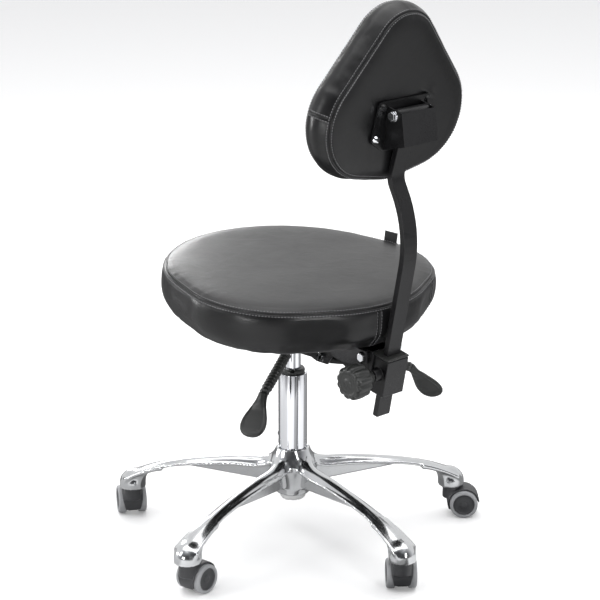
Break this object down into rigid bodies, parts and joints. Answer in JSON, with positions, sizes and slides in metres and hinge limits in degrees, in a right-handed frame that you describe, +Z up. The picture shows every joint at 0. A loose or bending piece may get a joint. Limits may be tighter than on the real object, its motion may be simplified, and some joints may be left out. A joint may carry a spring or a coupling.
{
  "type": "drum throne",
  "caption": "Round-nosed padded stool with backrest on a gas column and five-arm polished caster base; height lever, tilt lever and clamped back bar.",
  "frame": {"origin": "on the floor, under the axis of the gas column", "axes": "+Z up, the sitter faces -Y, +X is the sitter's left"},
  "size_m": [0.642, 0.6362, 0.9675],
  "materials": {
    "polished_aluminium": "polished, bright",
    "chrome": "mirror chrome plate",
    "steel": "bright steel",
    "black_steel": "satin black powder coat",
    "black_plastic": "moulded black plastic",
    "caster_plastic": "dark grey nylon",
    "tread": "soft light grey tread",
    "seat_leather": "smooth black faux leather, stitched",
    "back_leather": "smooth black faux leather, stitched",
    "plywood": "bare plywood",
    "white_plastic": "pale plastic",
    "seal_rubber": "black rubber",
    "brass": "brass",
    "label_fabric": "woven blank tape"
  },
  "bodies": {
    "base": {"base_casting": "polished_aluminium", "caster_stems": "steel", "column_tube": "chrome", "guide_bush": "black_plastic", "column_collar": "black_plastic", "column_end_ring": "white_plastic"},
    "column_rod": {"piston_rod": "steel", "piston": "brass", "thrust_bearing": "steel", "retaining_clip": "steel"},
    "seat": {"pressure_cylinder": "chrome", "rod_seal": "seal_rubber", "mechanism_housing": "black_steel", "column_socket": "black_steel", "seat_board": "plywood", "seat_pad": "seat_leather", "seat_bolts": "steel", "seat_tee_nuts": "steel", "label_tab": "label_fabric", "tilt_pivot_shaft": "chrome", "return_spring": "steel", "lever_pins": "steel"},
    "release_button": {"valve_button": "white_plastic"},
    "height_lever": {"height_lever_rod": "steel", "height_lever_grip": "black_plastic"},
    "tilt_lever": {"tilt_lever_rod": "steel", "tilt_lever_grip": "black_plastic"},
    "tilt_clamp": {"tilt_clamp_pad": "steel"},
    "back_carrier": {"carrier_arm": "black_steel", "tilt_stop_bolt": "chrome", "clamp_housing": "black_steel", "housing_liner": "black_plastic"},
    "screw_pad": {"clamp_pad": "brass"},
    "hand_knob": {"clamp_knob": "black_plastic"},
    "upright_bar": {"back_bar": "black_steel"},
    "backrest": {"backrest_bracket": "black_steel", "backrest_pivot_bolt": "chrome", "backrest_board": "plywood", "backrest_pad": "back_leather", "backrest_fixings": "chrome"},
    "caster_1": {"caster_1_hood": "caster_plastic", "caster_1_axle": "steel"},
    "caster_1_rollers": {"caster_1_wheels": "caster_plastic", "caster_1_treads": "tread"},
    "caster_2": {"caster_2_hood": "caster_plastic", "caster_2_axle": "steel"},
    "caster_2_rollers": {"caster_2_wheels": "caster_plastic", "caster_2_treads": "tread"},
    "caster_3": {"caster_3_hood": "caster_plastic", "caster_3_axle": "steel"},
    "caster_3_rollers": {"caster_3_wheels": "caster_plastic", "caster_3_treads": "tread"},
    "caster_4": {"caster_4_hood": "caster_plastic", "caster_4_axle": "steel"},
    "caster_4_rollers": {"caster_4_wheels": "caster_plastic", "caster_4_treads": "tread"},
    "caster_5": {"caster_5_hood": "caster_plastic", "caster_5_axle": "steel"},
    "caster_5_rollers": {"caster_5_wheels": "caster_plastic", "caster_5_treads": "tread"}
  },
  "joints": [
    {"name": "column_swivel", "type": "hinge", "parent": "base", "child": "column_rod", "pos_m": [0, 0, 0.2], "axis": [0, 0, 1], "continuous": true},
    {"name": "seat_lift", "type": "slide", "parent": "column_rod", "child": "seat", "axis": [0, 0, 1], "range_m": [-0.025, 0.105]},
    {"name": "height_lever_pull", "type": "hinge", "parent": "seat", "child": "height_lever", "pos_m": [0.048, 0.045, 0.368], "axis": [0.342, -0.9397, 0], "range_deg": [0, 5], "stiffness_Nm_per_rad": 8, "springref_deg": -1.72},
    {"name": "release_button_press", "type": "slide", "parent": "seat", "child": "release_button", "axis": [0, 0, -1], "range_m": [0, 0.0055]},
    {"name": "tilt_lever_pull", "type": "hinge", "parent": "seat", "child": "tilt_lever", "pos_m": [-0.048, 0.113, 0.366], "axis": [0.342, 0.9397, 0], "range_deg": [0, 5], "stiffness_Nm_per_rad": 8, "springref_deg": -1.72},
    {"name": "tilt_clamp_release", "type": "slide", "parent": "seat", "child": "tilt_clamp", "axis": [-1, 0, 0], "range_m": [0, 0.0011]},
    {"name": "back_carrier_tilt", "type": "hinge", "parent": "seat", "child": "back_carrier", "pos_m": [0, 0.113, 0.366], "axis": [-1, 0, 0], "range_deg": [-1.5, 12], "stiffness_Nm_per_rad": 20},
    {"name": "back_height_slide", "type": "slide", "parent": "back_carrier", "child": "upright_bar", "axis": [0, 0.1994, 0.9799], "range_m": [-0.06, 0.035]},
    {"name": "screw_travel", "type": "slide", "parent": "back_carrier", "child": "screw_pad", "axis": [1, 0, 0], "range_m": [0, 0.00187]},
    {"name": "knob_turn", "type": "hinge", "parent": "screw_pad", "child": "hand_knob", "pos_m": [0, 0.22907, 0.36098], "axis": [1, 0, 0], "range_deg": [0, 540]},
    {"name": "backrest_tilt", "type": "hinge", "parent": "upright_bar", "child": "backrest", "pos_m": [0, 0.27, 0.797], "axis": [-1, 0, 0], "range_deg": [0, 12]},
    {"name": "caster_1_swivel", "type": "hinge", "parent": "base", "child": "caster_1", "pos_m": [0.29377, 0.06084, 0.045], "axis": [0, 0, 1], "continuous": true},
    {"name": "caster_1_roll", "type": "hinge", "parent": "caster_1", "child": "caster_1_rollers", "pos_m": [0.27198, 0.05777, 0.025], "axis": [0.1392, -0.9903, 0], "continuous": true},
    {"name": "caster_2_swivel", "type": "hinge", "parent": "base", "child": "caster_2", "pos_m": [0.03292, 0.29819, 0.045], "axis": [0, 0, 1], "continuous": true},
    {"name": "caster_2_roll", "type": "hinge", "parent": "caster_2", "child": "caster_2_rollers", "pos_m": [0.01849, 0.28158, 0.025], "axis": [0.7547, -0.6561, 0], "continuous": true},
    {"name": "caster_3_swivel", "type": "hinge", "parent": "base", "child": "caster_3", "pos_m": [-0.27342, 0.12345, 0.045], "axis": [0, 0, 1], "continuous": true},
    {"name": "caster_3_roll", "type": "hinge", "parent": "caster_3", "child": "caster_3_rollers", "pos_m": [-0.28951, 0.13846, 0.025], "axis": [-0.682, -0.7314, 0], "continuous": true},
    {"name": "caster_4_swivel", "type": "hinge", "parent": "base", "child": "caster_4", "pos_m": [-0.2019, -0.22189, 0.045], "axis": [0, 0, 1], "continuous": true},
    {"name": "caster_4_roll", "type": "hinge", "parent": "caster_4", "child": "caster_4_rollers", "pos_m": [-0.22184, -0.23119, 0.025], "axis": [0.4226, -0.9063, 0], "continuous": true},
    {"name": "caster_5_swivel", "type": "hinge", "parent": "base", "child": "caster_5", "pos_m": [0.14864, -0.26059, 0.045], "axis": [0, 0, 1], "continuous": true},
    {"name": "caster_5_roll", "type": "hinge", "parent": "caster_5", "child": "caster_5_rollers", "pos_m": [0.13698, -0.27925, 0.025], "axis": [0.848, -0.5299, 0], "continuous": true}
  ],
  "couplings": [
    {"joint": "release_button_press", "follows": "height_lever_pull", "m_per_rad": 0.0618},
    {"joint": "tilt_clamp_release", "follows": "tilt_lever_pull", "m_per_rad": 0.01146},
    {"joint": "knob_turn", "follows": "screw_travel", "rad_per_m": 5026.5}
  ]
}
